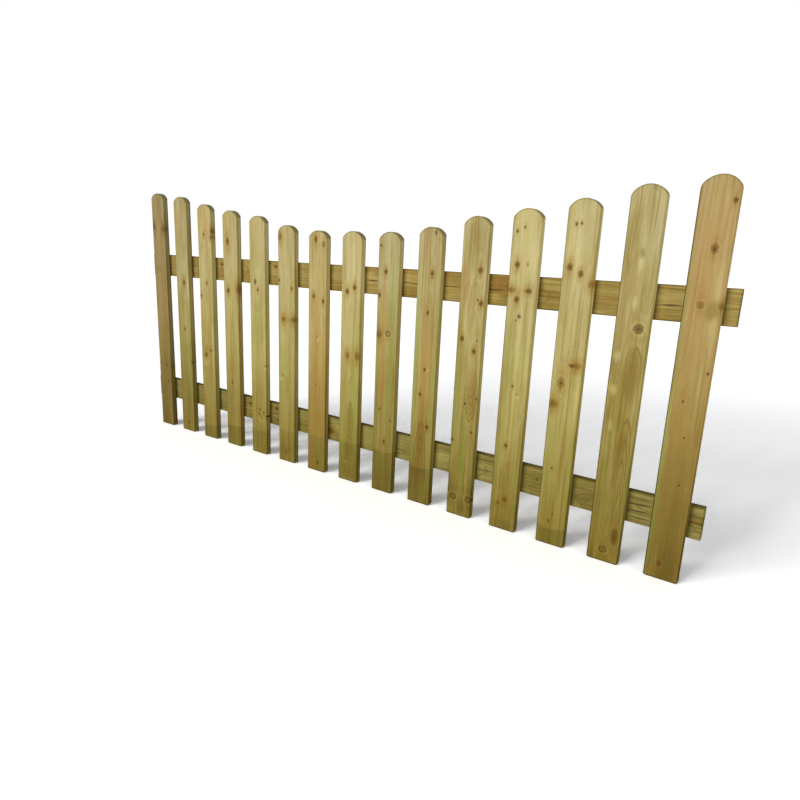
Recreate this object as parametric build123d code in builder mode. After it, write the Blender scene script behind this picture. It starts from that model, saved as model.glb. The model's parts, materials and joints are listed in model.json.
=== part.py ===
"""Dipped picket fence panel: upright round-topped pales nailed to the front of two rails.

The origin is on the flat back face of the bottom rail, at the middle of its length and height.
+X runs along the panel, +Y points out of the back and +Z is up.
"""
import os

from build123d import *

os.makedirs("parts", exist_ok=True)

# Pales, the uprights
pale_width = 68.0
pale_thickness = 18.0
pale_arris = 4.5
pale_pitch = 120.0
crown_rise = 21.0
shoulder_round = 20.0
foot_round = 5.0

# Length of the end pales, then how much shorter each next pale is on the way to the middle one;
# both halves of the panel match
end_pale_length = 800.0
steps_inwards = [13.0, 24.0, 19.0, 16.0, 25.0, 13.0, 0.0]

# Rails, the two lengths that carry the pales
rail_height = 70.0
rail_thickness = 20.0
rail_arris = 2.5
rail_overhang = 26.0
rail_spacing = 432.5
bottom_rail_lift = 98.5

# Places that follow from the sizes above
pales_each_side = len(steps_inwards)
rail_length = 2 * pales_each_side * pale_pitch + pale_width + 2 * rail_overhang
rail_middle_y = -rail_thickness / 2
pale_back_y = -rail_thickness
pale_middle_y = pale_back_y - pale_thickness / 2
foot_level = -rail_height / 2 - bottom_rail_lift


def make_rail(name, level):
    """One rail, its four long arrises eased and its ends cut square."""
    with BuildPart() as rail:
        with BuildSketch(Plane.YZ.offset(-rail_length / 2)):
            with Locations((rail_middle_y, level)):
                RectangleRounded(rail_thickness, rail_height, rail_arris)
        extrude(amount=rail_length)
    rail.part.label = name
    export_step(rail.part, f"parts/{name}.step")
    return rail.part


def make_pale(name, middle_x, length):
    """One pale: a board with rounded long arrises, its top then sawn to a flat-faced crown.

    The shoulders, where the crown runs into the sides, and the corners of the foot are eased.
    """
    half_width = pale_width / 2
    shoulder_level = foot_level + length - crown_rise
    with BuildPart() as pale:
        with BuildSketch(Plane.XY.offset(foot_level)):
            with Locations((middle_x, pale_middle_y)):
                RectangleRounded(pale_width, pale_thickness, pale_arris)
        extrude(amount=length)
        with BuildSketch(Plane.XZ.offset(-pale_middle_y)) as outline:
            with BuildLine():
                shoulders = (
                    (middle_x - half_width, shoulder_level),
                    (middle_x + half_width, shoulder_level),
                )
                crown = (middle_x, foot_level + length)
                ThreePointArc(shoulders[0], crown, shoulders[1])
                Polyline(
                    shoulders[1],
                    (middle_x + half_width, foot_level),
                    (middle_x - half_width, foot_level),
                    shoulders[0],
                )
            make_face()
            fillet(outline.vertices().sort_by(Axis.Y)[-2:], radius=shoulder_round)
            fillet(outline.vertices().sort_by(Axis.Y)[:2], radius=foot_round)
        extrude(amount=pale_thickness / 2, both=True, mode=Mode.INTERSECT)
    pale.part.label = name
    export_step(pale.part, f"parts/{name}.step")
    return pale.part


make_rail("rail_bottom", 0)
make_rail("rail_top", rail_spacing)

for place in range(-pales_each_side, pales_each_side + 1):
    number = place + pales_each_side + 1
    length = end_pale_length - sum(steps_inwards[: pales_each_side - abs(place)])
    make_pale(f"pale_{number:02d}", place * pale_pitch, length)
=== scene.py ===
"""Finishes, rails, nails and studio for a dipped picket fence panel of treated softwood."""
import json
import math
from collections import namedtuple
from functools import partial, reduce

import bmesh
import bpy
from mathutils import Matrix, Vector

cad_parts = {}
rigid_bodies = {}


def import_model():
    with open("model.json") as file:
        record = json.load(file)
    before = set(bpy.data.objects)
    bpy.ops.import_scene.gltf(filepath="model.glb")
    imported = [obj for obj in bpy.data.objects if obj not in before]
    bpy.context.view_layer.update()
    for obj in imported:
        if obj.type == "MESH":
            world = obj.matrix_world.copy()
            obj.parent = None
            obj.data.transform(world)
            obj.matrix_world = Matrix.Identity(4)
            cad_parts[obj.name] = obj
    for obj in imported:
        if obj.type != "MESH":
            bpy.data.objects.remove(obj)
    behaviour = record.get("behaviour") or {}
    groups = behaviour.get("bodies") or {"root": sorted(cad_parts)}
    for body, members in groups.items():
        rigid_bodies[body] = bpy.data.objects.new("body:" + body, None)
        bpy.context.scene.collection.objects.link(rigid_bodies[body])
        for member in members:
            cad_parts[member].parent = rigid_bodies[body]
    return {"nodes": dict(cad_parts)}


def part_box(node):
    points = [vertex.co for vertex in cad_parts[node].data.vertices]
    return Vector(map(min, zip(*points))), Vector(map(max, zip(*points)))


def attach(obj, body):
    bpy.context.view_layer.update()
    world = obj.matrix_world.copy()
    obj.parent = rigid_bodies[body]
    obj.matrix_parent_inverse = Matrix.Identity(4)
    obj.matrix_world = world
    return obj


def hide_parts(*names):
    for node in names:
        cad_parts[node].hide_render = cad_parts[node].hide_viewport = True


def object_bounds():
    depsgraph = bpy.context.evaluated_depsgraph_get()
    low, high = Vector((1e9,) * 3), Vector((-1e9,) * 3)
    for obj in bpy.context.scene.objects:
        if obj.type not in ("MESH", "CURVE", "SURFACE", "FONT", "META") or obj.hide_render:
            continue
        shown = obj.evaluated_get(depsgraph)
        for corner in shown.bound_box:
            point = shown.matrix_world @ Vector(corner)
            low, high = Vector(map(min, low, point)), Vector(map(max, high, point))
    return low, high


bl_info = {
    "name": "Garden fence panel",
    "version": (1, 0, 0),
    "blender": (4, 5, 0),
    "location": "View3D > Sidebar > Fence panel",
    "description": "Treated softwood, nailed rails and a plain studio for a dipped picket panel",
    "category": "Object",
}

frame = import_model()
cad_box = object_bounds()

MM = 0.001
PALE_NAMES = sorted(name for name in frame["nodes"] if name.startswith("pale_"))
RAIL_NAMES = ["rail_top", "rail_bottom"]

# All the lamps stand in front of the panel: how strong each is, how far to the left and above the
# floor it stands, and how wide it looks, in degrees
Lamp = namedtuple("Lamp", "strength left above width")
LAMPS = {
    "front": Lamp(0.72, 14, 19, 9),
    "left": Lamp(1.86, 30, 17.5, 30),
    "high": Lamp(0.23, 12, 52, 60),
    "right": Lamp(0.95, -65, 8, 14),
}

# The floor lies this much below the feet. The eye sees it as white with a faint cloud in it, but the
# light that it throws back on the boards is that of a dim floor.
FLOOR_GAP = 0.0005
FLOOR_SEEN = ((1.73, 1.74, 1.76, 1), (1.75, 1.76, 1.78, 1))
FLOOR_BOUNCE = (0.35, 0.35, 0.35, 1)

# The camera that fits the photograph: its place, and how far it is turned left, down and over
CAMERA_PLACE = (0.9965, -1.2728, 0.5093)
CAMERA_LEFT = 34.25
CAMERA_DOWN = 13.27
CAMERA_ROLL = 2.31
CAMERA_LENS = 26.475
CAMERA_SHIFT = (0.0056, -0.0121)

# A nail's head: its radius and thickness, how much it is domed, how far it stays below the rail's
# back, and the room round it. Each crossing has two nails, this far to each side of its middle.
NAIL_RADIUS = 0.0030
NAIL_THICKNESS = 0.0010
NAIL_DOME = 0.0003
NAIL_BELOW = 0.0002
NAIL_ROOM = 0.0003
NAIL_OFFSET = 0.014
ZINC = ((0.36, 0.36, 0.35, 1), (0.54, 0.54, 0.53, 1))
RECESS_DEPTH = NAIL_THICKNESS + NAIL_DOME + NAIL_BELOW

# The rounding of a rail's long edges, as in the CAD, and the arc that the darkened outline follows round
# a pale's crown, a tint that is partly painted shade
RAIL_ARRIS = 0.0025
CROWN_RADIUS = 0.038

# What is seen on one board. Places are in millimetres: across from its centre line, and along
# from its foot or, on a rail, from the middle of the panel. A flame is a nest of arches in the
# grain: it opens down from its tip, or up where its reach is below nought.
Knot = namedtuple("Knot", "kind across along radius stretch", defaults=(1.2,))
Stain = namedtuple("Stain", "tint across along half_width half_length strength")
Flame = namedtuple("Flame", "across tip half_width reach strength")
Shake = namedtuple("Shake", "across start end width")
LENGTHS = {"across", "along", "radius", "half_width", "half_length", "tip", "reach", "start", "end",
           "width"}
Board = namedtuple(
    "Board",
    "warmth tone grain heart_across heart_depth taper ring_width knots stains tide bow shakes flames"
    " mottle soak",
    defaults=((), (), 0.0, 0.0, (), (), 0.65, 0.7),
)

# How strongly each kind of knot shows its heart, its dark outline, its spikes and the glow about it,
# how dead it is, and its size beside the knot's own radius
KnotKind = namedtuple("KnotKind", "fill rim spike glow deadness size")
KNOT_KINDS = {
    "pin": KnotKind(0.90, 0.35, 0.30, 0.40, 0.5, 1.0),
    "star": KnotKind(1.00, 0.30, 0.45, 0.85, 0.3, 1.25),
    "ring": KnotKind(0.15, 0.80, 0.20, 0.55, 0.3, 1.0),
    "dead": KnotKind(0.80, 0.60, 0.20, 0.45, 1.0, 1.1),
    "eye": KnotKind(0.45, 0.35, 0.30, 0.70, 0.3, 1.0),
    "fan": KnotKind(0.60, 0.20, 0.35, 1.00, 0.2, 1.3),
}

pin, star, ring, dead, eye, fan = (partial(Knot, kind) for kind in KNOT_KINDS)

TINTS = {
    "heart": (0.47, 0.30, 0.105, 1),
    "red": (0.44, 0.245, 0.080, 1),
    "green": (0.33, 0.38, 0.11, 1),
    "brown": (0.30, 0.21, 0.062, 1),
    "pale": (0.66, 0.57, 0.27, 1),
    "dark": (0.17, 0.145, 0.035, 1),
}
heart, red, green, brown, pale, dark = (partial(Stain, tint) for tint in TINTS)

PALES = {
    "pale_01": Board(
        0.70, 0.72, 0.30, 20, 30, 0.020, 3.6,
        [fan(-24, 693, 7), fan(25, 686, 7), star(10, 220, 3), pin(13, 160, 3)],
        [heart(0, 400, 40, 420, 0.45), green(27, 676, 9, 14, 0.4), brown(-16, 223, 9, 11, 0.6),
         brown(32, 221, 7, 14, 0.6), brown(24, 240, 12, 220, 0.35), brown(-24, 693, 10, 20, 0.6),
         brown(25, 686, 9, 24, 0.6)],
        flames=[Flame(-8, 546, 26, -10, 0.5)]),
    "pale_02": Board(
        0.15, 0.95, 0.30, 10, 45, 0.015, 3.2,
        [star(7, 515, 5, 1.6), star(1, 359, 3.5), pin(31, 247, 3.5), star(2, 30, 3.5)],
        [heart(-20, 700, 11, 60, 0.6), brown(-2, 440, 12, 80, 0.35), brown(6, 190, 17, 140, 0.4),
         dark(27, 252, 7, 2, 0.7), pale(27, 500, 6, 60, 0.5), green(10, 300, 25, 300, 0.3)]),
    "pale_03": Board(
        0.35, 1.07, 0.30, -8, 38, 0.022, 3.4,
        [star(-3.5, 671, 3.5), fan(32, 682, 4, 1.6), star(5, 520, 3.5), star(-24, 478, 3.5),
         star(-10, 285, 5), ring(14, 302, 7, 0.9), pin(-28, 327, 2.5), fan(30, 663, 4)],
        [heart(0, 720, 15, 90, 0.7), heart(-12, 430, 9, 60, 0.6), brown(0, 300, 26, 24, 0.35),
         red(-30, 145, 6, 34, 0.5), pale(-14, 262, 12, 20, 0.4)], 41, 9, [Shake(5, 325, 368, 0.7)]),
    "pale_04": Board(
        0.40, 1.06, 0.30, 4, 35, 0.018, 3.5,
        [star(-10, 653, 6, 1.6), star(-12, 504, 6, 1.0), fan(33, 510, 8, 1.4),
         star(-1.5, 211, 3.5, 0.9)],
        [red(-11, 497, 12, 22, 0.55), red(-8, 625, 4, 18, 0.4), red(-5, 350, 7, 150, 0.55),
         red(-1, 265, 7, 50, 0.55), green(18, 380, 12, 120, 0.45)], 65, 6),
    "pale_05": Board(
        0.12, 1.10, 0.22, -14, 45, 0.016, 3.2,
        [dead(-9, 538, 5, 1.5), star(1.5, 515, 3.5), pin(30, 285, 3.5, 0.6),
         dead(5, 144, 2.6, 1.8), dead(21, 136, 3, 1.5), dead(1.5, 129, 2.2, 1.6),
         pin(13, 117, 2, 1.8), dead(33, 125, 3), pin(-8, 104, 2)],
        [green(0, 420, 30, 90, 0.4), pale(29, 276, 5, 8, 0.7), pale(6, 112, 22, 12, 0.35)], 74, 8,
        flames=[Flame(-2, 452, 26, -45, 0.45)], soak=0.6),
    "pale_06": Board(
        0.32, 1.07, 0.28, 6, 34, 0.021, 3.4,
        [fan(-25, 671, 7, 1.2), star(-28, 549, 3), star(22, 528, 3.5), fan(-11, 437, 7, 0.8),
         fan(28, 438, 8, 0.8), pin(-16, 267, 2.5), pin(-1, 29, 3)],
        [brown(8, 438, 28, 13, 0.5), red(-11, 437, 9, 8, 0.4), green(-3, 250, 9, 190, 0.4),
         pale(-20, 260, 5, 9, 0.7)], 96, 6,
        flames=[Flame(-1, 27, 22, -14, 0.8)], soak=0.35),
    "pale_07": Board(
        0.62, 1.08, 0.30, 10, 48, 0.014, 3.3,
        [star(-7, 667, 5, 1.5), eye(22, 654, 7), star(-13, 513, 4.5), star(22, 501, 4),
         pin(0, 399, 2.5), pin(-2, 261, 2.5, 0.7), ring(7, 26, 6, 1.0)],
        [heart(0, 330, 40, 420, 0.45), pale(4, 392, 4, 6, 0.7), green(10, 60, 20, 80, 0.35),
         red(12, 600, 8, 90, 0.25), dark(7, 26, 8, 8, 0.4)], 106, 8, [Shake(-21, 560, 592, 0.8)],
         soak=0.4),
    "pale_08": Board(
        0.16, 1.11, 0.28, 8, 32, 0.024, 3.6,
        [star(-13, 534, 5), star(12, 546, 5), fan(-8, 361, 5, 1.4), fan(25, 363, 6, 1.4),
         pin(-9, 64, 3, 0.6)],
        [green(20, 260, 14, 260, 0.45), pale(-9, 56, 5, 5, 0.6), green(-18, 130, 14, 200, 0.35),
         brown(8, 20, 24, 14, 0.4), pale(8, 620, 7, 70, 0.3), brown(24, 362, 9, 14, 0.3)], 112, 6,
         (), [Flame(6, 228, 11, 45, 1.3), Flame(4, 151, 12, 50, 1.2), Flame(0, 28, 20, -12, 0.8)],
         soak=0.55),
    "pale_09": Board(
        0.35, 0.97, 0.30, -6, 40, 0.018, 3.4,
        [pin(-25, 656, 3.5), star(-8, 592, 4.5), star(-26, 533, 4), fan(-24, 431, 8, 0.9),
         ring(5, 436, 8, 0.9), pin(-14, 232, 3), dead(22, 205, 3, 0.8), star(4, 143, 3)],
        [heart(-11, 395, 13, 250, 0.8), red(-8, 310, 9, 80, 0.5), red(-14, 520, 6, 90, 0.3),
         green(16, 360, 12, 340, 0.45), green(-28, 250, 5, 260, 0.5),
         brown(-10, 440, 22, 9, 0.5)], 112, 8, [Shake(8, 600, 682, 0.7)]),
    "pale_10": Board(
        0.55, 0.99, 0.32, 6, 33, 0.023, 3.8,
        [pin(14, 690, 3.5, 1.6), star(9, 595, 4.5), dead(9, 585, 2.5, 1.0), star(2, 500, 3.5),
         dead(1, 358, 4, 1.0), star(-9, 292, 3.5), star(16, 211, 4)],
        [heart(-2, 300, 19, 260, 0.55), brown(0, 200, 16, 120, 0.35), brown(2, 507, 6, 10, 0.45),
         pale(9, 358, 5, 5, 0.6), pale(-15, 288, 4, 5, 0.5), red(16, 201, 6, 9, 0.6),
         green(-28, 360, 8, 340, 0.6), green(28, 400, 6, 330, 0.5)], 97, 6, (),
         [Flame(-1, 215, 18, 100, 1.5), Flame(3, 66, 14, -22, 0.8)]),
    "pale_11": Board(
        0.42, 1.01, 0.42, 16, 36, 0.022, 4.0,
        [star(17, 609, 5), star(24, 534, 4.5), pin(15, 541, 3), star(-20, 448, 4.5),
         star(14, 421, 4.5), pin(20, 447, 2), dead(0, 292, 3.5, 1.0), pin(29, 308, 3),
         dead(22, 223, 3.5, 1.0), pin(-27, 195, 3), ring(-17, 48, 8, 1.0), ring(26, 48, 8, 1.0)],
        [brown(6, 640, 26, 60, 0.25), heart(16, 300, 12, 190, 0.4), green(-24, 300, 11, 240, 0.5),
         red(-22, 615, 5, 28, 0.6), green(4, 190, 8, 170, 0.5), dark(27, 70, 8, 70, 0.55),
         dark(-28, 60, 7, 60, 0.55), brown(24, 300, 6, 200, 0.45), pale(-14, 490, 7, 60, 0.4),
         red(-12, 583, 5, 30, 0.6), red(-3, 540, 5, 42, 0.6), red(0, 490, 6, 40, 0.45),
         red(-4, 286, 6, 7, 0.6), red(22, 213, 6, 9, 0.6), red(-13, 143, 3, 70, 0.6),
         green(0, 180, 9, 170, 0.4), dark(5, 25, 16, 28, 0.5)], 80, 2, (),
         [Flame(14, 251, 15, -50, 1.4), Flame(14, 296, 12, -50, 1.3),
         Flame(-6, 670, 9, -25, 0.7)], 0.9, 0.25),
    "pale_12": Board(
        0.20, 1.08, 0.24, -6, 44, 0.017, 3.2,
        [pin(-21, 696, 3.5), pin(-4, 705, 3), star(-15, 625, 5), pin(9, 627, 2.2),
         fan(-25, 570, 7, 0.6), star(16, 570, 7, 0.6), star(-10, 550, 5), dead(-1, 513, 4, 1.0),
         pin(-7, 504, 2.2), pin(-2, 354, 3), pin(10, 337, 2.5, 0.6), star(-6, 211, 3.5, 1.0),
         ring(-14, 65, 4.5, 1.0), fan(3, 77, 5, 0.8)],
        [red(3, 163, 6, 14, 0.7), brown(-2, 570, 32, 8, 0.5), green(-18, 350, 6, 300, 0.35),
         pale(2, 420, 7, 260, 0.35), green(15, 420, 5, 240, 0.3), pale(12, 330, 6, 6, 0.5),
         pale(0, 680, 40, 150, 0.4), green(24, 160, 8, 90, 0.35), green(24, 62, 8, 30, 0.6),
         dark(2, 10, 34, 22, 0.35), green(-24, 140, 8, 120, 0.35), brown(4, 130, 14, 70, 0.3),
         red(-14, 65, 10, 8, 0.5), red(8, 74, 10, 8, 0.4)], 67, 3, soak=0.25),
    "pale_13": Board(
        0.32, 1.09, 0.24, 8, 50, 0.015, 3.4,
        [pin(-13, 712, 3.5), pin(-3, 714, 3), star(-18, 625, 5, 1.3), star(6, 613, 4.5),
         fan(30, 593, 5), star(9, 420, 6, 0.6), fan(16, 420, 9, 0.6), star(-11, 379, 3),
         eye(-11, 379, 7.5, 1.5), fan(-25, 331, 9, 0.8), pin(-11, 183, 2.5), pin(1, 75, 2.2),
         ring(-6, 56, 3.5, 1.3)],
        [pale(-2, 640, 9, 75, 0.45), green(-20, 220, 12, 240, 0.28), green(28, 160, 6, 160, 0.35),
         brown(10, 240, 6, 90, 0.3), pale(-14, 700, 16, 120, 0.35), pale(26, 330, 6, 60, 0.35),
         red(6, 612, 9, 11, 0.5), red(11, 421, 18, 10, 0.5), brown(-25, 331, 12, 9, 0.5),
         pale(-11, 352, 8, 10, 0.4)], 38, 9, [Shake(0, -14, 29, 1.4)],
         [Flame(-10, 345, 12, -60, 0.45)]),
    "pale_14": Board(
        0.30, 1.01, 0.45, 10, 26, 0.026, 4.2,
        [dead(13, 512, 8, 1.0), ring(-1, 28, 8, 0.9), eye(20, 64, 7, 2.4)],
        [brown(-12, 600, 8, 60, 0.4), brown(13, 590, 6, 55, 0.4), brown(-22, 480, 9, 240, 0.4),
         brown(14, 400, 10, 70, 0.5), dark(-28, 430, 4, 22, 0.4), dark(2, 395, 3, 30, 0.5),
         dark(0, 320, 3, 34, 0.5), dark(-26, 330, 4, 20, 0.4), brown(4, 250, 9, 100, 0.5),
         pale(1, 638, 6, 19, 0.5), pale(-1, 562, 6, 20, 0.5), pale(-21, 453, 9, 14, 0.4),
         pale(-21, 383, 11, 17, 0.45), pale(-17, 308, 6, 17, 0.4), dark(10, 779, 8, 9, 0.4),
         dark(2, 658, 7, 13, 0.45), brown(-21, 633, 7, 22, 0.6), green(-18, 180, 8, 150, 0.35),
         green(28, 150, 6, 150, 0.5), dark(20, 64, 8, 20, 0.75), brown(8, 720, 6, 60, 0.3)], 0.0,
         0.0, (), [Flame(14, 477, 12, 60, 1.4), Flame(15, 322, 15, 130, 1.2)], 1.0),
    "pale_15": Board(
        0.85, 0.97, 0.26, -10, 60, 0.014, 3.2,
        [star(26, 755, 3.5), star(5, 671, 4.5, 1.5), eye(-4, 568, 6, 1.1), fan(31, 567, 4),
         pin(27, 441, 3), pin(-8, 381, 2.5), pin(4, 309, 2.2), pin(8, 211, 2.5),
         eye(-6, 35, 5, 1.6)],
        [heart(2, 640, 32, 260, 0.75), heart(-2, 300, 26, 260, 0.6), pale(22, 560, 9, 120, 0.4),
         red(5, 671, 9, 17, 0.5), brown(5, 740, 5, 80, 0.35), brown(16, 20, 14, 40, 0.4),
         pale(-14, 45, 3, 30, 0.5), red(-6, 588, 11, 30, 0.65), brown(17, 558, 19, 26, 0.8),
         red(-8, 394, 6, 15, 0.45), red(-15, 230, 6, 180, 0.5), green(-30, 400, 6, 430, 0.35),
         brown(14, 170, 16, 190, 0.5), brown(2, 150, 42, 350, 0.55), dark(4, 30, 24, 60, 0.35),
         green(-29, 130, 7, 210, 0.5), red(-25, 20, 6, 8, 0.6)]),
}

RAILS = {
    "rail_top": Board(
        0.55, 1.0, 0.90, 12, 16, 0.012, 6.0,
        [fan(10, 446, 7), star(20, -300, 4), star(-15, -650, 4), star(18, 80, 4),
         star(-20, 700, 5), star(16, -540, 4)],
        [pale(12, 190, 22, 220, 0.35), red(16, 415, 20, 42, 0.6), pale(-18, 410, 12, 30, 0.5),
         pale(-6, 330, 34, 110, 0.3), pale(0, 60, 34, 50, 0.3), brown(0, -750, 40, 110, 0.3),
         brown(-16, 640, 14, 40, 0.5), brown(10, 300, 16, 40, 0.4), brown(20, -120, 12, 90, 0.4),
         red(-10, -530, 14, 25, 0.4)],
        shakes=[Shake(0, 28, 90, 3.6), Shake(0, 90, 360, 1.5), Shake(1, 370, 440, 2.6),
         Shake(-4, 755, 812, 2.6), Shake(3, -760, -520, 1.3)],
        flames=[Flame(16, 405, 26, -36, 1.0), Flame(14, 430, 20, 40, 0.9),
         Flame(-6, 540, 26, 120, 0.7), Flame(4, -420, 26, 90, 0.7)],
        mottle=1.0),
    "rail_bottom": Board(
        0.30, 1.0, 0.95, -8, 14, 0.016, 6.4,
        [star(16, -92, 5), ring(-10, 205, 6, 1.5), pin(6, 550, 3, 1.0), fan(-6, -80, 8),
         star(15, -420, 4), star(-12, -700, 4), star(20, -300, 5)],
        [brown(0, -720, 40, 130, 0.35), brown(0, -120, 38, 100, 0.25), pale(0, 60, 34, 45, 0.3),
         pale(-4, 420, 34, 60, 0.5), pale(-4, 290, 34, 50, 0.3), red(14, -92, 14, 14, 0.6),
         pale(4, -50, 16, 24, 0.7), pale(2, 305, 20, 34, 0.7), brown(24, 305, 8, 40, 0.5),
         pale(2, 770, 14, 60, 0.35), pale(8, 400, 12, 40, 0.4), dark(-12, 640, 14, 40, 0.4),
         dark(-18, -560, 12, 60, 0.4)],
        shakes=[Shake(8, 735, 812, 2.6), Shake(-6, 735, 812, 2.4), Shake(20, 735, 812, 1.6),
         Shake(-20, 745, 815, 1.6), Shake(0, 860, 930, 1.6), Shake(14, 860, 930, 1.4),
         Shake(22, 380, 450, 1.4), Shake(-4, 380, 450, 1.6), Shake(-6, -560, -490, 1.6),
         Shake(2, -330, -270, 2.2), Shake(-16, -330, -270, 2.0)],
        flames=[Flame(-14, 646, 24, -70, 1.0), Flame(6, 716, 20, -90, 0.8),
         Flame(-4, 420, 26, 80, 0.8), Flame(6, 330, 22, -90, 0.8), Flame(4, 870, 28, -80, 0.7),
         Flame(0, -210, 28, 90, 0.8)],
        mottle=1.0),
}

# The rails took up more treatment than the pales, the bottom one most
RAIL_TINTS = {"rail_top": (0.80, 0.71, 0.42, 1), "rail_bottom": (0.61, 0.61, 0.36, 1)}

# Layers of the clear wood. Each lies where one pattern of the fibre group goes from start to end, has
# a strength on pales and on rails, and multiplies a tint in, or lays cream over where it has none.
Layer = namedtuple("Layer", "pattern start end on_pale on_rail tint")
WOOD_LAYERS = (
    Layer("Band", 0.42, 0.28, 0.30, 0.30, None),
    Layer("Band", 0.48, 0.62, 0.50, 0.50, (0.84, 0.78, 0.58, 1)),
    Layer("Streak", 0.51, 0.68, 0.70, 0.95, (0.70, 0.58, 0.36, 1)),
    Layer("Streak", 0.46, 0.30, 0.30, 0.60, None),
)
MOTTLED = (0.78, 0.75, 0.54, 1)
BETWEEN_FIBRES = (0.72, 0.68, 0.52, 1)
INSIDE_ARCHES = (0.80, 0.70, 0.48, 1)
LIVE_HALO = (0.36, 0.210, 0.042, 1)
DEAD_HALO = (0.30, 0.210, 0.050, 1)
# Painted shade down in the drying cracks
CRACK_SHADE = (0.060, 0.042, 0.014, 1)
END_RINGS = (0.24, 0.18, 0.06, 1)
# The pales grow darker and greener towards the foot, faintly over most of their height and strongly at
# the foot: partly painted shade, partly the treatment soaked up from the foot
SOAKED_AND_SHADED_HIGH = (0.84, 0.83, 0.56, 1)
SOAKED_AND_SHADED_LOW = (0.62, 0.56, 0.33, 1)
# A thin dark line along the left arris of each pale, and painted shade along the far edge of its right
# side
DARK_LINE = (0.30, 0.24, 0.14, 1)
# The sockets of the node groups that carry a vector; all others carry a value
VECTOR_SOCKETS = ("Board", "Ragged", "Drawn")
# How far the growth rings stray from their circles, in metres
PALE_WANDER = 0.004
RAIL_WANDER = 0.008
# Painted light: how many times lighter the right sides of the pales are painted, at the left end of the
# panel, and what comes on top of that at the right end, where more light comes round them
SIDE_PAINTED_LIGHT = 1.05
SIDE_PAINTED_LIGHT_GAIN = 0.85


def colour_setting(name, description, default):
    return bpy.props.FloatVectorProperty(
        name=name, description=description, subtype="COLOR", default=default, min=0, max=1)


class TimberSettings(bpy.types.PropertyGroup):
    """Colours and grain of the treated softwood."""

    sapwood: colour_setting(
        "Sapwood", "Pale outer wood, tinted green by the treatment", (0.50, 0.425, 0.205))
    heartwood: colour_setting("Heartwood", "Warmer inner wood", (0.51, 0.36, 0.165))
    latewood: colour_setting("Latewood", "Dark line of each growth ring", (0.27, 0.19, 0.055))
    cream: colour_setting("Cream", "Lightest streaks between the fibres", (0.62, 0.54, 0.29))
    knot_live: colour_setting("Live knot", "Red-brown knot grown into the wood", (0.22, 0.110, 0.018))
    knot_dead: colour_setting("Dead knot", "Dull brown loose knot", (0.14, 0.080, 0.026))
    knot_dark: colour_setting(
        "Knot lines", "Heart, outline and spikes of a knot", (0.085, 0.036, 0.003))
    # Partly painted shade along the rounded edges, partly treatment gathered there
    arris: colour_setting(
        "Arris", "Tint along the rounded edges, where the treatment gathers", (0.48, 0.47, 0.27))
    soaked: colour_setting(
        "Soaked", "Tint of the foot where the treatment soaked in", (0.62, 0.66, 0.42))
    end_grain: colour_setting(
        "End grain", "Sawn ends, which drink more treatment", (0.31, 0.25, 0.097))
    relief: bpy.props.FloatProperty(
        name="Relief", description="Height of the raised grain", subtype="DISTANCE", unit="LENGTH",
        default=0.0005, min=0)


class StudioSettings(bpy.types.PropertyGroup):
    """Floor and light."""

    floor_size: bpy.props.FloatProperty(
        name="Floor size", description="Side of the square floor", subtype="DISTANCE", unit="LENGTH",
        default=80.0, min=1)
    lamp_strength: bpy.props.FloatProperty(
        name="Lamps", description="Strength of all the lamps together", default=1.0, min=0)
    sky_strength: bpy.props.FloatProperty(
        name="Sky", description="Strength of the even light from all round", default=0.265, min=0)


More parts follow.
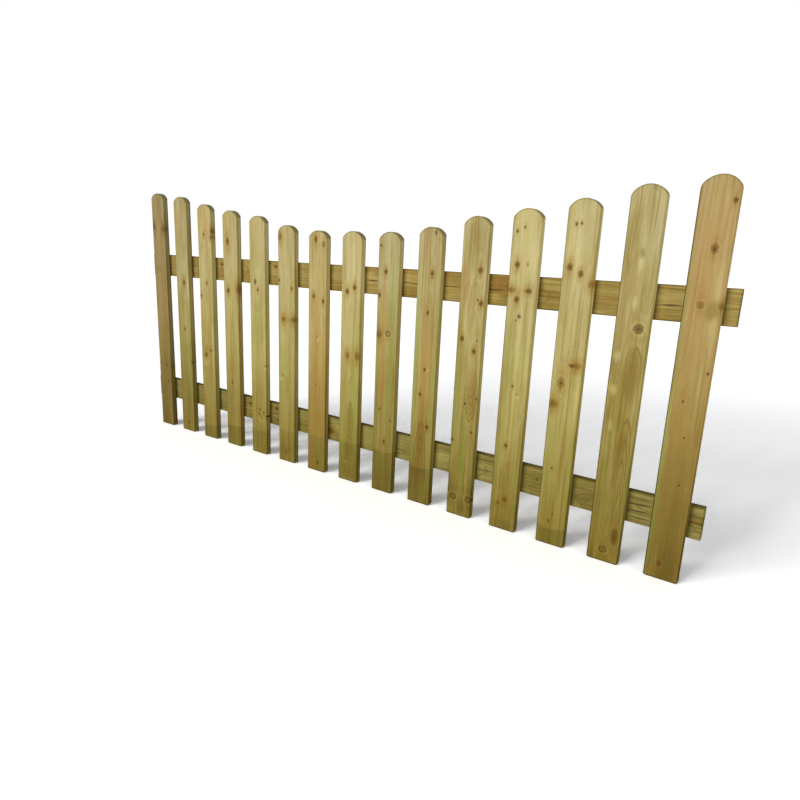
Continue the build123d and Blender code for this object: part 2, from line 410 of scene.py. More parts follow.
class Graph:
    """Short words for adding and wiring nodes in one node tree."""

    def __init__(self, tree):
        self.tree = tree

    def wire(self, socket, value):
        """Links an output into the socket, or sets the socket to a plain value."""
        if isinstance(value, bpy.types.NodeSocket):
            self.tree.links.new(value, socket)
        else:
            socket.default_value = value

    def add(self, kind, **settings):
        node = self.tree.nodes.new(kind)
        for name, value in settings.items():
            setattr(node, name, value)
        return node

    def math(self, operation, *values):
        node = self.add("ShaderNodeMath", operation=operation)
        for socket, value in zip(node.inputs, values):
            self.wire(socket, value)
        return node.outputs[0]

    def times(self, *values):
        return reduce(partial(self.math, "MULTIPLY"), values)

    def plus(self, *values):
        return reduce(partial(self.math, "ADD"), values)

    def most(self, *values):
        return reduce(partial(self.math, "MAXIMUM"), values)

    def minus(self, first, second):
        return self.math("SUBTRACT", first, second)

    def size(self, value):
        return self.math("ABSOLUTE", value)

    def vector(self, operation, *values):
        node = self.add("ShaderNodeVectorMath", operation=operation)
        for socket, value in zip(node.inputs, values):
            self.wire(socket, value)
        return node.outputs["Value" if operation == "LENGTH" else "Vector"]

    def scale(self, vector, shares):
        return self.vector("MULTIPLY", vector, shares)

    def length(self, vector):
        return self.vector("LENGTH", vector)

    def join(self, x, y, z):
        node = self.add("ShaderNodeCombineXYZ")
        for socket, value in zip(node.inputs, (x, y, z)):
            self.wire(socket, value)
        return node.outputs[0]

    def split(self, vector):
        node = self.add("ShaderNodeSeparateXYZ")
        self.wire(node.inputs[0], vector)
        return node.outputs

    def fade(self, value, start, end, low=0.0, high=1.0):
        """Goes smoothly from low to high as value goes from start to end."""
        node = self.add("ShaderNodeMapRange", interpolation_type="SMOOTHSTEP")
        for socket, given in zip(node.inputs, (value, start, end, low, high)):
            self.wire(socket, given)
        return node.outputs[0]

    def line(self, value, place, outer, inner, strength=1.0):
        """Strongest where value is at the place, and gone from outer on, to both sides of it."""
        return self.fade(self.size(self.minus(value, place)), outer, inner, 0.0, strength)

    def noise(self, vector, scale, detail=2.0, output="Fac"):
        node = self.add("ShaderNodeTexNoise")
        self.wire(node.inputs["Vector"], vector)
        self.wire(node.inputs["Scale"], scale)
        self.wire(node.inputs["Detail"], detail)
        return node.outputs[output]

    def mix(self, factor, first, second, blend="MIX"):
        node = self.add("ShaderNodeMix", data_type="RGBA", blend_type=blend)
        self.wire(node.inputs[0], factor)
        self.wire(node.inputs[6], first)
        self.wire(node.inputs[7], second)
        return node.outputs[2]

    def tint(self, factor, colour, tint):
        return self.mix(factor, colour, tint, "MULTIPLY")

    def place(self, group, **inputs):
        """Places a node group; an input's spaces are written as underscores."""
        node = self.add("ShaderNodeGroup", node_tree=group)
        for name, value in inputs.items():
            self.wire(node.inputs[name.replace("_", " ").capitalize()], value)
        return node.outputs


def blank_material(name):
    """A material with nothing in it, its graph, and the socket that its surface goes to."""
    material = bpy.data.materials.new(name)
    material.use_nodes = True
    material.node_tree.nodes.clear()
    graph = Graph(material.node_tree)
    return material, graph, graph.add("ShaderNodeOutputMaterial").inputs["Surface"]


def new_group(name, inputs, outputs):
    """A shader node group with the named sockets, ready to be wired."""
    group = bpy.data.node_groups.new(name, "ShaderNodeTree")
    for side, labels in (("INPUT", inputs), ("OUTPUT", outputs)):
        for label in labels.split(", "):
            kind = "NodeSocketVector" if label in VECTOR_SOCKETS else "NodeSocketFloat"
            group.interface.new_socket(label, in_out=side, socket_type=kind)
    graph = Graph(group)
    given = graph.add("NodeGroupInput").outputs
    result = graph.add("NodeGroupOutput").inputs
    return group, graph, given, result


def knot_group():
    """One knot, added to those before it: body, dark lines, glow, pale rim and lift of the rings."""
    carried = "Body, Dark, Dead, Halo, Pale, Lift"
    group, graph, given, result = new_group(
        "Knot",
        "Board, Across, Along, Radius, Stretch, Fill, Rim, Spike, Glow, Deadness, Ragged, " + carried,
        carried)
    offset = graph.vector("SUBTRACT", given["Board"], graph.join(given["Across"], 0.0, given["Along"]))
    long_radius = graph.times(given["Radius"], given["Stretch"])
    unit = graph.vector("DIVIDE", offset, graph.join(given["Radius"], 1.0, long_radius))
    unit = graph.scale(unit, (1.0, 0.0, 1.0))
    rough = graph.vector("ADD", unit, graph.scale(given["Ragged"], (1.1, 0.0, 1.1)))
    reach = graph.length(rough)
    filled = graph.most(given["Fill"], graph.times(given["Rim"], 0.25))
    body = graph.times(graph.fade(reach, 1.25, 0.5), filled)
    core = graph.times(graph.fade(reach, 0.8, 0.1), given["Fill"])
    rings = graph.most(graph.line(reach, 0.95, 0.30, 0.05), graph.line(reach, 0.50, 0.16, 0.0, 0.35))
    rings = graph.times(rings, given["Rim"])
    spike = graph.length(graph.scale(rough, (2.0, 0.0, 0.28)))
    spike = graph.times(graph.fade(spike, 1.0, 0.1), given["Spike"])
    rim = graph.most(graph.line(reach, 1.50, 0.40, 0.05), graph.fade(reach, 0.35, 0.05))
    halo = graph.scale(graph.vector("ADD", unit, rough), (0.20, 0.0, 0.12))
    spread = graph.length(graph.scale(unit, (0.50, 0.0, 0.20)))
    lift = graph.math("EXPONENT", graph.times(spread, spread, -1.0))
    for name, value in (
            ("Body", body),
            ("Dark", graph.most(core, rings, spike)),
            ("Dead", graph.times(graph.fade(reach, 1.4, 0.9), given["Deadness"])),
            ("Halo", graph.times(graph.fade(graph.length(halo), 1.0, 0.1), given["Glow"])),
            ("Pale", graph.times(rim, given["Rim"]))):
        graph.wire(result[name], graph.most(given[name], value))
    graph.wire(result["Lift"], graph.plus(given["Lift"], graph.times(lift, given["Radius"])))
    return group


def growth_group():
    """Growth rings about a tapering trunk, which the board's faces cut into lines and arches."""
    group, graph, given, result = new_group(
        "Growth rings", "Board, Lift, Heart across, Heart depth, Taper, Ring width, Wander, Seed",
        "Latewood")
    across, depth, along = graph.split(given["Board"])
    sway = graph.noise(graph.join(given["Seed"], 0.0, along), 3.5, 1.0)
    sway = graph.times(graph.minus(sway, 0.5), given["Wander"], 6.0)
    shifted = graph.vector("ADD", graph.scale(given["Board"], (1.0, 1.0, 0.12)),
                           graph.join(given["Seed"], 0.0, 0.0))
    uneven = graph.noise(shifted, 60.0, 4.0)
    uneven = graph.times(graph.minus(uneven, 0.5), given["Wander"], 1.6)
    across = graph.plus(graph.minus(across, given["Heart across"]), sway)
    depth = graph.plus(depth, given["Heart depth"], graph.times(along, given["Taper"]))
    radius = graph.math("SQRT", graph.plus(graph.times(across, across), graph.times(depth, depth)))
    radius = graph.plus(radius, given["Lift"], uneven)
    turns = graph.math("DIVIDE", radius, given["Ring width"])
    phase = graph.math("FRACT", turns)
    year = graph.add("ShaderNodeTexWhiteNoise", noise_dimensions="1D")
    graph.wire(year.inputs["W"], graph.plus(graph.math("FLOOR", turns), given["Seed"]))
    late = graph.times(graph.fade(phase, 0.30, 0.85), graph.fade(phase, 1.0, 0.88))
    strength = graph.plus(graph.times(year.outputs["Value"], 0.75), 0.25)
    worn = graph.noise(graph.scale(shifted, (1.0, 1.0, 0.5)), 90.0, 3.0)
    strength = graph.times(strength, graph.fade(worn, 0.25, 0.6, 0.25, 1.0))
    graph.wire(result["Latewood"], graph.times(late, strength))
    return group


def fibre_group():
    """Fine fibres, flecks, streaks and broad bands drawn out along the board."""
    group, graph, given, result = new_group(
        "Fibre", "Board, Seed", "Fine, Fleck, Streak, Band, Cloud, Ragged, Drawn")
    seeded = graph.vector("ADD", given["Board"], graph.join(given["Seed"], given["Seed"], given["Seed"]))
    layers = {
        "Fine": (0.03, 620.0, 4.0),
        "Fleck": (0.12, 520.0, 2.0),
        "Streak": (0.022, 190.0, 4.0),
        "Band": (0.05, 34.0, 2.0),
        "Cloud": (0.30, 24.0, 4.0),
    }
    for name, (draw_out, scale, detail) in layers.items():
        drawn = graph.scale(seeded, (1.0, 1.0, draw_out))
        graph.wire(result[name], graph.noise(drawn, scale, detail))
    for name, draw_out, scale in (("Ragged", 1.0, 210.0), ("Drawn", 0.22, 80.0)):
        drawn = graph.scale(seeded, (1.0, 1.0, draw_out))
        ragged = graph.noise(drawn, scale, 3.0, "Color")
        graph.wire(result[name], graph.vector("SUBTRACT", ragged, (0.5, 0.5, 0.5)))
    return group


def edge_group():
    """How near the face is to the sawn outline of a pale: its sides, its crown and its foot."""
    group, graph, given, result = new_group(
        "Outline edge", "Board, Half width, Length, Crown radius", "Edge")
    across, depth, along = graph.split(given["Board"])
    side = graph.minus(given["Half width"], graph.size(across))
    crown_middle = graph.minus(given["Length"], given["Crown radius"])
    above = graph.most(graph.minus(along, crown_middle), 0.0)
    crown = graph.minus(given["Crown radius"], graph.length(graph.join(across, 0.0, above)))
    inside = graph.math("MINIMUM", graph.math("MINIMUM", side, crown), along)
    ragged = graph.noise(graph.scale(given["Board"], (1.0, 1.0, 0.3)), 120.0, 2.0)
    inside = graph.plus(inside, graph.times(graph.minus(ragged, 0.5), 0.003))
    near_face = graph.fade(graph.size(depth), 0.003, 0.007)
    graph.wire(result["Edge"], graph.times(graph.fade(inside, 0.0036, 0.0008), near_face))
    return group


def stain_group():
    """A soft long patch with a ragged edge."""
    group, graph, given, result = new_group(
        "Stain", "Board, Across, Along, Half width, Half length, Ragged", "Mask")
    offset = graph.vector("SUBTRACT", given["Board"], graph.join(given["Across"], 0.0, given["Along"]))
    unit = graph.vector("DIVIDE", offset, graph.join(given["Half width"], 1.0, given["Half length"]))
    rough = graph.scale(given["Ragged"], (1.0, 0.0, 1.0))
    reach = graph.length(graph.vector("ADD", unit, rough))
    graph.wire(result["Mask"], graph.fade(reach, 1.1, 0.3))
    return group


def flame_group():
    """A nest of pointed arches, as where a board is sawn a little across the growth rings."""
    group, graph, given, result = new_group(
        "Flame", "Board, Across, Tip, Half width, Reach, Strength, Ragged, Lines, Fill",
        "Lines, Fill")
    shift = graph.scale(given["Ragged"], (0.008, 0.0, 0.026))
    across, _, along = graph.split(graph.vector("ADD", given["Board"], shift))
    sideways = graph.math("DIVIDE", graph.minus(across, given["Across"]), given["Half width"])
    below = graph.math("DIVIDE", graph.minus(given["Tip"], along), given["Reach"])
    towards = graph.most(graph.minus(1.0, below), 0.0)
    reach = graph.length(graph.join(sideways, 0.0, towards))
    turns = graph.math("FRACT", graph.plus(graph.times(reach, 3.0), 0.5))
    lines = graph.line(turns, 0.5, 0.20, 0.02)
    inside = graph.times(graph.fade(reach, 1.12, 1.0), graph.fade(below, 2.2, 1.0), given["Strength"])
    graph.wire(result["Lines"], graph.most(given["Lines"], graph.times(lines, inside)))
    graph.wire(result["Fill"], graph.most(given["Fill"], inside))
    return group


def tide_group():
    """The level that the treatment soaked to: dark below a line that bows down in the middle."""
    group, graph, given, result = new_group(
        "Tide", "Board, Half width, Level, Bow", "Below, Line")
    across, _, along = graph.split(given["Board"])
    share = graph.math("DIVIDE", across, given["Half width"])
    level = graph.plus(given["Level"], graph.times(share, share, given["Bow"]))
    ragged = graph.noise(graph.scale(given["Board"], (1.0, 1.0, 0.1)), 160.0, 2.0)
    level = graph.plus(level, graph.times(graph.minus(ragged, 0.5), 0.008))
    height = graph.minus(along, level)
    graph.wire(result["Below"], graph.fade(height, 0.002, -0.002))
    graph.wire(result["Line"], graph.fade(graph.size(height), 0.0025, 0.0))
    return group


def shake_group():
    """A drying crack that runs along the grain."""
    group, graph, given, result = new_group(
        "Shake", "Board, Across, Start, End, Width, Crack", "Crack")
    across, _, along = graph.split(given["Board"])
    sway = graph.noise(graph.join(given["Across"], 0.0, along), 9.0, 3.0)
    sway = graph.times(graph.minus(sway, 0.5), 0.012)
    away = graph.size(graph.plus(graph.minus(across, given["Across"]), sway))
    away = graph.math("DIVIDE", away, given["Width"])
    crack = graph.fade(away, 1.0, 0.15)
    ends = graph.times(graph.fade(graph.minus(along, given["Start"]), 0.0, 0.03),
                       graph.fade(graph.minus(given["End"], along), 0.0, 0.03))
    broken = graph.fade(graph.noise(graph.join(given["Start"], 0.0, along), 25.0, 2.0), 0.28, 0.42)
    graph.wire(result["Crack"], graph.most(given["Crack"], graph.times(crack, ends, broken)))
    return group


def pale_axes(graph, node_name):
    """Board coordinates of a pale: across, through and up from the middle of its foot."""
    low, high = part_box(node_name)
    middle = (low + high) / 2
    place = graph.add("ShaderNodeMapping", vector_type="POINT")
    place.inputs["Location"].default_value = (-middle.x, -middle.y, -low.z)
    coordinates = graph.add("ShaderNodeTexCoord")
    graph.wire(place.inputs["Vector"], coordinates.outputs["Object"])
    normal = graph.split(coordinates.outputs["Normal"])
    return place.outputs["Vector"], normal[2], normal[0]


def rail_axes(graph, node_name):
    """Board coordinates of a rail: across is up, along is +X from the middle of the panel."""
    low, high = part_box(node_name)
    middle = (low + high) / 2
    coordinates = graph.add("ShaderNodeTexCoord")
    x, y, z = graph.split(coordinates.outputs["Object"])
    board = graph.join(graph.minus(z, middle.z), graph.minus(y, middle.y), x)
    normal = graph.split(coordinates.outputs["Normal"])
    return board, normal[0], normal[2]


def sockets_of(mark):
    """The numbers of a mark as its node group takes them, the lengths in metres."""
    return {name: value * MM if name in LENGTHS else value
            for name, value in mark._asdict().items() if not isinstance(value, str)}


def lay_knots(graph, groups, board, place, ragged):
    """What all the knots of a board show: body, dark lines, glow, pale rims and lift of the rings."""
    carried = dict.fromkeys(("body", "dark", "dead", "halo", "pale", "lift"), 0.0)
    for knot in board.knots:
        sockets = sockets_of(knot)
        shape = KNOT_KINDS[knot.kind]._asdict()
        sockets["radius"] *= shape.pop("size")
        made = graph.place(groups["knot"], board=place, ragged=ragged, **sockets, **shape, **carried)
        carried = {name: made[name.capitalize()] for name in carried}
    return carried


def clear_wood(graph, board, fibre, growth, timber, is_rail):
    """The wood between the knots: sapwood and heartwood, mottle, streaks, rings and fibres."""
    warm = graph.fade(fibre["Band"], 0.66 - 0.36 * board.warmth, 0.90 - 0.40 * board.warmth)
    colour = graph.mix(warm, (*timber.sapwood, 1), (*timber.heartwood, 1))
    colour = graph.tint(graph.fade(fibre["Cloud"], 0.40, 0.66, 0.0, board.mottle), colour, MOTTLED)
    for layer in WOOD_LAYERS:
        strength = layer.on_rail if is_rail else layer.on_pale
        share = graph.fade(fibre[layer.pattern], layer.start, layer.end, 0.0, strength)
        if layer.tint:
            colour = graph.tint(share, colour, layer.tint)
        else:
            colour = graph.mix(share, colour, (*timber.cream, 1))
    colour = graph.mix(graph.times(growth["Latewood"], board.grain), colour, (*timber.latewood, 1))
    return graph.tint(graph.fade(fibre["Fine"], 0.35, 0.7, 0.0, 0.35), colour, BETWEEN_FIBRES)


def lay_marks(graph, groups, board, place, fibre, knots, timber, colour):
    """Lays the stains over the clear wood, then the grain arches, the knots and the dark flecks."""
    latewood = (*timber.latewood, 1)
    for stain in board.stains:
        sockets = sockets_of(stain)
        strength = sockets.pop("strength")
        mask = graph.place(groups["stain"], board=place, ragged=fibre["Drawn"], **sockets)["Mask"]
        colour = graph.mix(graph.times(mask, strength), colour, TINTS[stain.tint])
    if board.flames:
        drawn = {"lines": 0.0, "fill": 0.0}
        for flame in board.flames:
            made = graph.place(groups["flame"], board=place, ragged=fibre["Drawn"],
                               **sockets_of(flame), **drawn)
            drawn = {name: made[name.capitalize()] for name in drawn}
        colour = graph.tint(graph.times(drawn["fill"], 0.35), colour, INSIDE_ARCHES)
        colour = graph.mix(graph.times(drawn["lines"], 0.85), colour, latewood)
    halo_colour = graph.mix(knots["dead"], LIVE_HALO, DEAD_HALO)
    knot_colour = graph.mix(knots["dead"], (*timber.knot_live, 1), (*timber.knot_dead, 1))
    for part, strength, part_colour in (
            ("halo", 0.85, halo_colour),
            ("pale", 0.42, (*timber.cream, 1)),
            ("body", 0.85, knot_colour),
            ("dark", 0.78, (*timber.knot_dark, 1))):
        colour = graph.mix(graph.times(knots[part], strength), colour, part_colour)
    return graph.mix(graph.fade(fibre["Fleck"], 0.66, 0.74, 0.0, 0.45), colour, latewood)


def treat_board(graph, groups, node_name, board, place, sideways, timber, colour):
    """Stains the wood with the treatment: all of a rail, and a pale by height, edges and tide line; the
    darkening by height and along the edges is partly painted shade.
    """
    tone = (board.tone, board.tone, board.tone, 1)
    if node_name in RAIL_NAMES:
        return graph.tint(1.0, graph.tint(1.0, colour, RAIL_TINTS[node_name]), tone)
    low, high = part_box(node_name)
    half_width = (high.x - low.x) / 2
    _, _, height = graph.split(place)
    # Partly painted shade, partly treatment: darker and greener towards the foot
    colour = graph.tint(graph.fade(height, 0.80, 0.20), colour, SOAKED_AND_SHADED_HIGH)
    colour = graph.tint(graph.fade(height, 0.42, 0.0), colour, SOAKED_AND_SHADED_LOW)
    # Partly painted shade, partly treatment: a darker tint along the sawn outline, stronger towards the
    # foot
    edge = graph.place(groups["edge"], board=place, half_width=half_width, length=high.z - low.z,
                       crown_radius=CROWN_RADIUS)["Edge"]
    edge = graph.times(edge, graph.fade(height, 0.55, 0.05, 0.75, 1.0))
    colour = graph.tint(edge, colour, (*timber.arris, 1))
    # A thin dark line along the left arris
    left_arris = graph.times(graph.fade(sideways, -0.45, -0.75, 0.0, 0.85),
                             graph.fade(sideways, -0.99, -0.90))
    colour = graph.tint(left_arris, colour, DARK_LINE)
    if board.tide:
        tide = graph.place(groups["tide"], board=place, half_width=half_width, level=board.tide * MM,
                           bow=board.bow * MM)
        colour = graph.tint(graph.times(tide["Below"], board.soak), colour, (*timber.soaked, 1))
        colour = graph.mix(graph.times(tide["Line"], 0.4 * board.soak), colour, (*timber.latewood, 1))
    return graph.tint(1.0, colour, tone)


def shade_edges(graph, node_name, place, lengthways, sideways, timber, colour):
    """Darkens the outline of a rail, partly as painted shade, and paints the right side of a pale
    lighter as painted light, but for its far edge, which gets a painted dark line of shade.
    """
    across, depth, height = graph.split(place)
    low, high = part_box(node_name)
    if node_name in RAIL_NAMES:
        # Partly painted shade, partly treatment: a darker outline along the rail's long edges and its
        # ends
        half = (high - low) / 2
        outline = graph.most(graph.fade(graph.size(across), half.z - 0.0030, half.z - 0.0004),
                             graph.fade(graph.size(height), half.x - 0.0035, half.x - 0.0008))
        return graph.tint(graph.times(outline, 0.6), colour, (*timber.arris, 1))
    # Painted light: the right side of a pale is made lighter, less so at the foot and on the sawn crown
    side = graph.times(graph.fade(sideways, 0.25, 0.85), graph.fade(height, 0.0, 0.45, 0.15, 1.0),
                       graph.fade(graph.size(lengthways), 0.5, 0.1, 0.35, 1.0))
    lift = SIDE_PAINTED_LIGHT + SIDE_PAINTED_LIGHT_GAIN * (PALE_NAMES.index(node_name) / (len(PALE_NAMES) - 1))
    colour = graph.tint(side, colour, (lift, lift, lift, 1))
    # Painted shade: a thin dark line along the far edge of the right side
    far = (high.y - low.y) / 2
    far_edge = graph.times(graph.fade(depth, far - 0.0060, far - 0.0028, 0.0, 0.85),
                           graph.fade(sideways, 0.2, 0.5))
    return graph.tint(far_edge, colour, DARK_LINE)


def treated_board(node_name, board, groups, timber, seed):
    """The finish of one board, with its own knots, stains, rings and tide line."""
    material, graph, output = blank_material(f"treated_{node_name}")
    surface = graph.add("ShaderNodeBsdfPrincipled")
    graph.wire(output, surface.outputs["BSDF"])

    is_rail = node_name in RAIL_NAMES
    axes = rail_axes if is_rail else pale_axes
    place, lengthways, sideways = axes(graph, node_name)
    fibre = graph.place(groups["fibre"], board=place, seed=seed)
    knots = lay_knots(graph, groups, board, place, fibre["Ragged"])
    growth = graph.place(groups["growth"], board=place, lift=knots["lift"],
                         heart_across=board.heart_across * MM, heart_depth=board.heart_depth * MM,
                         taper=board.taper, ring_width=board.ring_width * MM,
                         wander=RAIL_WANDER if is_rail else PALE_WANDER, seed=seed)

    colour = clear_wood(graph, board, fibre, growth, timber, is_rail)
    colour = lay_marks(graph, groups, board, place, fibre, knots, timber, colour)
    colour = treat_board(graph, groups, node_name, board, place, sideways, timber, colour)
    relief = graph.plus(graph.times(fibre["Fine"], 0.7), graph.times(growth["Latewood"], 0.35),
                        graph.times(knots["body"], 0.6))
    if board.shakes:
        crack = 0.0
        for shake in board.shakes:
            crack = graph.place(groups["shake"], board=place, crack=crack, **sockets_of(shake))["Crack"]
        # Painted shade down in each crack
        colour = graph.mix(graph.times(crack, 0.9), colour, CRACK_SHADE)
        relief = graph.minus(relief, graph.times(crack, 2.5))
    end_grain = graph.mix(growth["Latewood"], (*timber.end_grain, 1), END_RINGS)
    colour = graph.mix(graph.fade(graph.size(lengthways), 0.25, 0.4), colour, end_grain)
    colour = shade_edges(graph, node_name, place, lengthways, sideways, timber, colour)
    graph.wire(surface.inputs["Base Color"], colour)

    roughness = graph.plus(graph.times(fibre["Fine"], 0.18), 0.58)
    roughness = graph.minus(roughness, graph.times(knots["body"], 0.15))
    graph.wire(surface.inputs["Roughness"], roughness)
    surface.inputs["Specular IOR Level"].default_value = 0.15
    bump = graph.add("ShaderNodeBump")
    bump.inputs["Strength"].default_value = 0.7
    bump.inputs["Distance"].default_value = timber.relief
    graph.wire(bump.inputs["Height"], relief)
    graph.wire(surface.inputs["Normal"], bump.outputs["Normal"])
    return material


def galvanised_steel():
    """Dull grey zinc with a faint mottle."""
    material = bpy.data.materials.new("galvanised_steel")
    material.use_nodes = True
    graph = Graph(material.node_tree)
    surface = material.node_tree.nodes["Principled BSDF"]
    surface.inputs["Metallic"].default_value = 1.0
    coordinates = graph.add("ShaderNodeTexCoord")
    mottle = graph.noise(coordinates.outputs["Object"], 900.0, 3.0)
    graph.wire(surface.inputs["Base Color"], graph.mix(mottle, *ZINC))
    graph.wire(surface.inputs["Roughness"], graph.fade(mottle, 0.3, 0.7, 0.38, 0.60))
    return material


def nail_places(rail_name):
    """Two nails through each crossing, corner to corner so that they don't split the pale."""
    low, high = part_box(rail_name)
    level = (low.z + high.z) / 2
    places = []
    for name in PALE_NAMES:
        pale_low, pale_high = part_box(name)
        middle = (pale_low.x + pale_high.x) / 2
        places.append((middle - NAIL_OFFSET, level + NAIL_OFFSET))
        places.append((middle + NAIL_OFFSET, level - NAIL_OFFSET))
    return places


def make_active(piece):
    bpy.ops.object.select_all(action="DESELECT")
    piece.select_set(True)
    bpy.context.view_layer.objects.active = piece


def add_disc(radius, low_y, high_y):
    """A round disc across the Y axis, from low_y to high_y."""
    bpy.ops.object.select_all(action="DESELECT")
    bpy.ops.mesh.primitive_cylinder_add(
        vertices=24, radius=radius, depth=high_y - low_y, location=(0, (low_y + high_y) / 2, 0),
        rotation=(math.radians(90), 0, 0))
    bpy.ops.object.transform_apply(location=True, rotation=True, scale=True)
    return bpy.context.object


def copy_to(model, places, name):
    """Copies a model to each place along and up a rail's back, joined as one piece."""
    copies = []
    for x, z in places:
        copy = model.copy()
        copy.data = model.data.copy()
        copy.data.transform(Matrix.Translation((x, 0, z)))
        bpy.context.collection.objects.link(copy)
        copies.append(copy)
    bpy.data.objects.remove(model)
    make_active(copies[0])
    for copy in copies:
        copy.select_set(True)
    bpy.ops.object.join()
    joined = bpy.context.object
    joined.name = name
    return joined


def model_rail(name):
    """A rail with eased arrises and a shallow round recess for the head of each nail."""
    low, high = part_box(name)
    bpy.ops.object.select_all(action="DESELECT")
    bpy.ops.mesh.primitive_cube_add(size=1, location=(low + high) / 2)
    rail = bpy.context.object
    rail.scale = high - low
    bpy.ops.object.transform_apply(location=True, rotation=True, scale=True)
    bpy.ops.object.mode_set(mode="EDIT")
    bpy.ops.mesh.select_mode(type="EDGE")
    bpy.ops.mesh.select_all(action="DESELECT")
    mesh = bmesh.from_edit_mesh(rail.data)
    for edge in mesh.edges:
        start, end = edge.verts
        edge.select = abs(start.co.x - end.co.x) > 0.5 * (high.x - low.x)
    bmesh.update_edit_mesh(rail.data)
    bpy.ops.mesh.bevel(offset=RAIL_ARRIS, segments=5)
    bpy.ops.object.mode_set(mode="OBJECT")
    if len(rail.data.vertices) <= 8:
        raise RuntimeError(f"the arrises of {name} were not eased")

    cutter = add_disc(NAIL_RADIUS + NAIL_ROOM, high.y - RECESS_DEPTH, high.y + RECESS_DEPTH)
    cutters = copy_to(cutter, nail_places(name), "recesses")
    make_active(rail)
    cut = rail.modifiers.new("Recesses", "BOOLEAN")
    cut.operation = "DIFFERENCE"
    cut.object = cutters
    bpy.ops.object.modifier_apply(modifier=cut.name)
    bpy.data.objects.remove(cutters)
    bpy.ops.object.shade_smooth_by_angle(angle=math.radians(30))
    rail.name = f"{name}_nailed"
    return rail


def model_nails(rail_name):
    """The heads of the nails in one rail, their rims eased into a low dome."""
    _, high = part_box(rail_name)
    seat = high.y - RECESS_DEPTH
    nail = add_disc(NAIL_RADIUS, seat, seat + NAIL_THICKNESS)
    bpy.ops.object.mode_set(mode="EDIT")
    bpy.ops.mesh.select_mode(type="FACE")
    bpy.ops.mesh.select_all(action="DESELECT")
    mesh = bmesh.from_edit_mesh(nail.data)
    for face in mesh.faces:
        face.select = face.normal.y > 0.9
    bmesh.update_edit_mesh(nail.data)
    for share in (0.25, 0.35):
        bpy.ops.mesh.inset(thickness=NAIL_RADIUS * share)
        bpy.ops.transform.translate(value=(0, NAIL_DOME / 2, 0))
    bpy.ops.object.mode_set(mode="OBJECT")
    bpy.ops.object.shade_smooth_by_angle(angle=math.radians(40))
    return copy_to(nail, nail_places(rail_name), f"nails_{rail_name}")


def shared_groups():
    """Every node group that the boards share, by the name that their finish asks for."""
    return {"knot": knot_group(), "growth": growth_group(), "fibre": fibre_group(),
            "edge": edge_group(), "flame": flame_group(), "stain": stain_group(),
            "tide": tide_group(), "shake": shake_group()}


def dress(piece, material):
    piece.data.materials.clear()
    piece.data.materials.append(material)


class FENCE_OT_model_rails(bpy.types.Operator):
    """Model both rails with the recesses in their backs for the nails"""

    bl_idname = "fence.model_rails"
    bl_label = "Model the rails"

    def execute(self, context):
        for name in RAIL_NAMES:
            rail = model_rail(name)
            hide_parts(name)
            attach(rail, "root")
        return {"FINISHED"}


class FENCE_OT_drive_nails(bpy.types.Operator):
    """Drive two galvanised nails through each crossing from the back of the rails"""

    bl_idname = "fence.drive_nails"
    bl_label = "Drive the nails"

    def execute(self, context):
        steel = galvanised_steel()
        for name in RAIL_NAMES:
            nails = model_nails(name)
            dress(nails, steel)
            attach(nails, "root")
        return {"FINISHED"}


class FENCE_OT_finish_boards(bpy.types.Operator):
    """Give every pale and rail its own treated softwood"""

    bl_idname = "fence.finish_boards"
    bl_label = "Finish the boards"

    def execute(self, context):
        missing = [name for name in RAIL_NAMES if f"{name}_nailed" not in bpy.data.objects]
        if missing:
            raise RuntimeError(f"model the rails first: {', '.join(missing)}")
        timber = context.scene.fence_timber
        groups = shared_groups()
        for index, name in enumerate(PALE_NAMES):
            finish = treated_board(name, PALES[name], groups, timber, 1.7 * index + 0.3)
            dress(frame["nodes"][name], finish)
        for index, name in enumerate(RAIL_NAMES):
            finish = treated_board(name, RAILS[name], groups, timber, 40.0 + 3.1 * index)
            dress(bpy.data.objects[f"{name}_nailed"], finish)
        return {"FINISHED"}


def show_and_light(graph, output, shown, lighting):
    """Shows one shader to the camera and uses another for the light that it gives."""
    ray = graph.add("ShaderNodeLightPath")
    both = graph.add("ShaderNodeMixShader")
    for socket, value in zip(both.inputs, (ray.outputs["Is Camera Ray"], lighting, shown)):
        graph.wire(socket, value)
    graph.wire(output, both.outputs["Shader"])


def floor_material():
    """Studio white: over-bright to the eye, so that only shadows show, but it bounces little light."""
    material, graph, output = blank_material("studio_white")
    coordinates = graph.add("ShaderNodeTexCoord")
    cloud = graph.noise(coordinates.outputs["Object"], 0.6, 2.0)
    bright = graph.add("ShaderNodeBsdfDiffuse")
    graph.wire(bright.inputs["Color"], graph.mix(cloud, *FLOOR_SEEN))
    dim = graph.add("ShaderNodeBsdfDiffuse")
    dim.inputs["Color"].default_value = FLOOR_BOUNCE
    show_and_light(graph, output, bright.outputs["BSDF"], dim.outputs["BSDF"])
    return material


def white_sky(strength):
    """A white surround: the eye sees plain white, and the light it gives is weaker."""
    world = bpy.data.worlds.new("studio_sky")
    world.use_nodes = True
    graph = Graph(world.node_tree)
    light = world.node_tree.nodes["Background"]
    light.inputs["Color"].default_value = (1, 1, 1, 1)
    light.inputs["Strength"].default_value = strength
    backdrop = graph.add("ShaderNodeBackground")
    backdrop.inputs["Color"].default_value = (1, 1, 1, 1)
    backdrop.inputs["Strength"].default_value = 1.0
    output = world.node_tree.nodes["World Output"].inputs["Surface"]
    show_and_light(graph, output, backdrop.outputs["Background"], light.outputs["Background"])
    return world


def turn(degrees, axis):
    return Matrix.Rotation(math.radians(degrees), 4, axis)


def add_to_stage(context, name, data, matrix):
    """Adds a lamp or the camera, placed and turned by the matrix."""
    added = bpy.data.objects.new(name, data)
    context.collection.objects.link(added)
    added.matrix_world = matrix
    return added


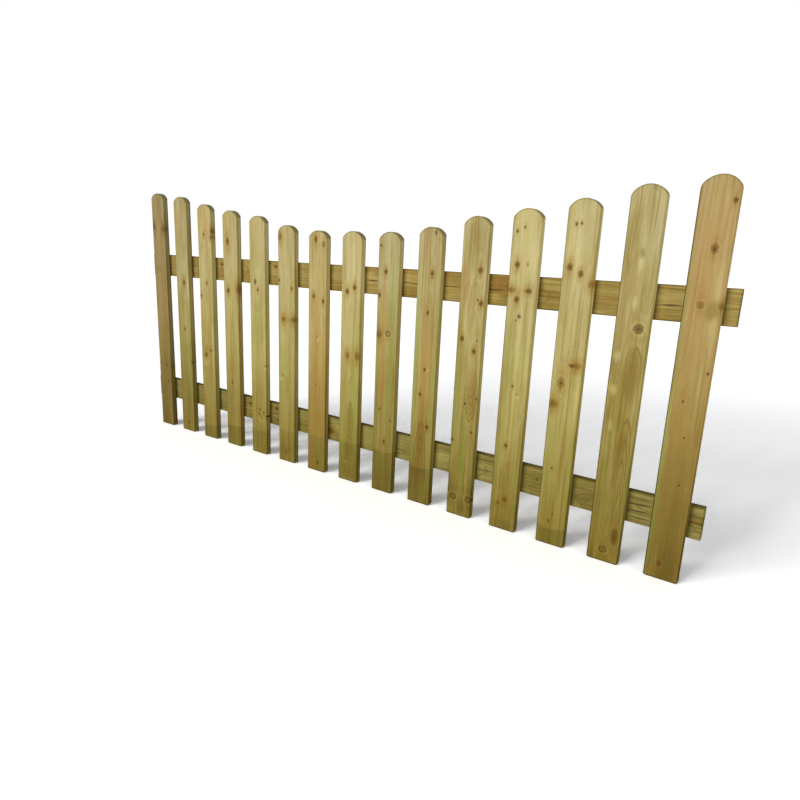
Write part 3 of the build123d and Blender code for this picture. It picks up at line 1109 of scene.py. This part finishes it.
class FENCE_OT_set_stage(bpy.types.Operator):
    """Lay the floor and set the lights and the camera"""

    bl_idname = "fence.set_stage"
    bl_label = "Set the stage"

    def execute(self, context):
        studio = context.scene.fence_studio
        low, _ = cad_box
        bpy.ops.object.select_all(action="DESELECT")
        bpy.ops.mesh.primitive_plane_add(size=studio.floor_size, location=(0, 0, low.z - FLOOR_GAP))
        floor = context.object
        floor.name = "studio_floor"
        floor.data.materials.append(floor_material())
        context.scene.world = white_sky(studio.sky_strength)
        context.scene.view_settings.view_transform = "Standard"

        for name, lamp in LAMPS.items():
            sun = bpy.data.lights.new(f"sun_{name}", "SUN")
            sun.energy = lamp.strength * studio.lamp_strength
            sun.angle = math.radians(lamp.width)
            aim = turn(-lamp.left, "Z") @ turn(90 - lamp.above, "X")
            add_to_stage(context, f"sun_{name}", sun, aim)

        camera = bpy.data.cameras.new("camera")
        camera.sensor_width = 36.0
        camera.lens = CAMERA_LENS
        camera.shift_x, camera.shift_y = CAMERA_SHIFT
        aim = turn(CAMERA_LEFT, "Z") @ turn(90 - CAMERA_DOWN, "X") @ turn(CAMERA_ROLL, "Z")
        placed = Matrix.Translation(CAMERA_PLACE) @ aim
        context.scene.camera = add_to_stage(context, "camera", camera, placed)
        return {"FINISHED"}


class FENCE_PT_panel(bpy.types.Panel):
    """The steps and settings in the sidebar"""

    bl_label = "Fence panel"
    bl_space_type = "VIEW_3D"
    bl_region_type = "UI"
    bl_category = "Fence panel"

    def draw(self, context):
        layout = self.layout
        for settings in (context.scene.fence_timber, context.scene.fence_studio):
            for name in settings.__annotations__:
                layout.prop(settings, name)
        for operator in OPERATORS:
            layout.operator(operator.bl_idname)


OPERATORS = [FENCE_OT_model_rails, FENCE_OT_drive_nails, FENCE_OT_finish_boards, FENCE_OT_set_stage]
CLASSES = [TimberSettings, StudioSettings, *OPERATORS, FENCE_PT_panel]


def register():
    for kind in CLASSES:
        bpy.utils.register_class(kind)
    bpy.types.Scene.fence_timber = bpy.props.PointerProperty(type=TimberSettings)
    bpy.types.Scene.fence_studio = bpy.props.PointerProperty(type=StudioSettings)


def unregister():
    del bpy.types.Scene.fence_timber
    del bpy.types.Scene.fence_studio
    for kind in reversed(CLASSES):
        bpy.utils.unregister_class(kind)


def main():
    register()
    bpy.ops.fence.model_rails()
    bpy.ops.fence.drive_nails()
    bpy.ops.fence.finish_boards()
    bpy.ops.fence.set_stage()


if __name__ == "__main__":
    main()
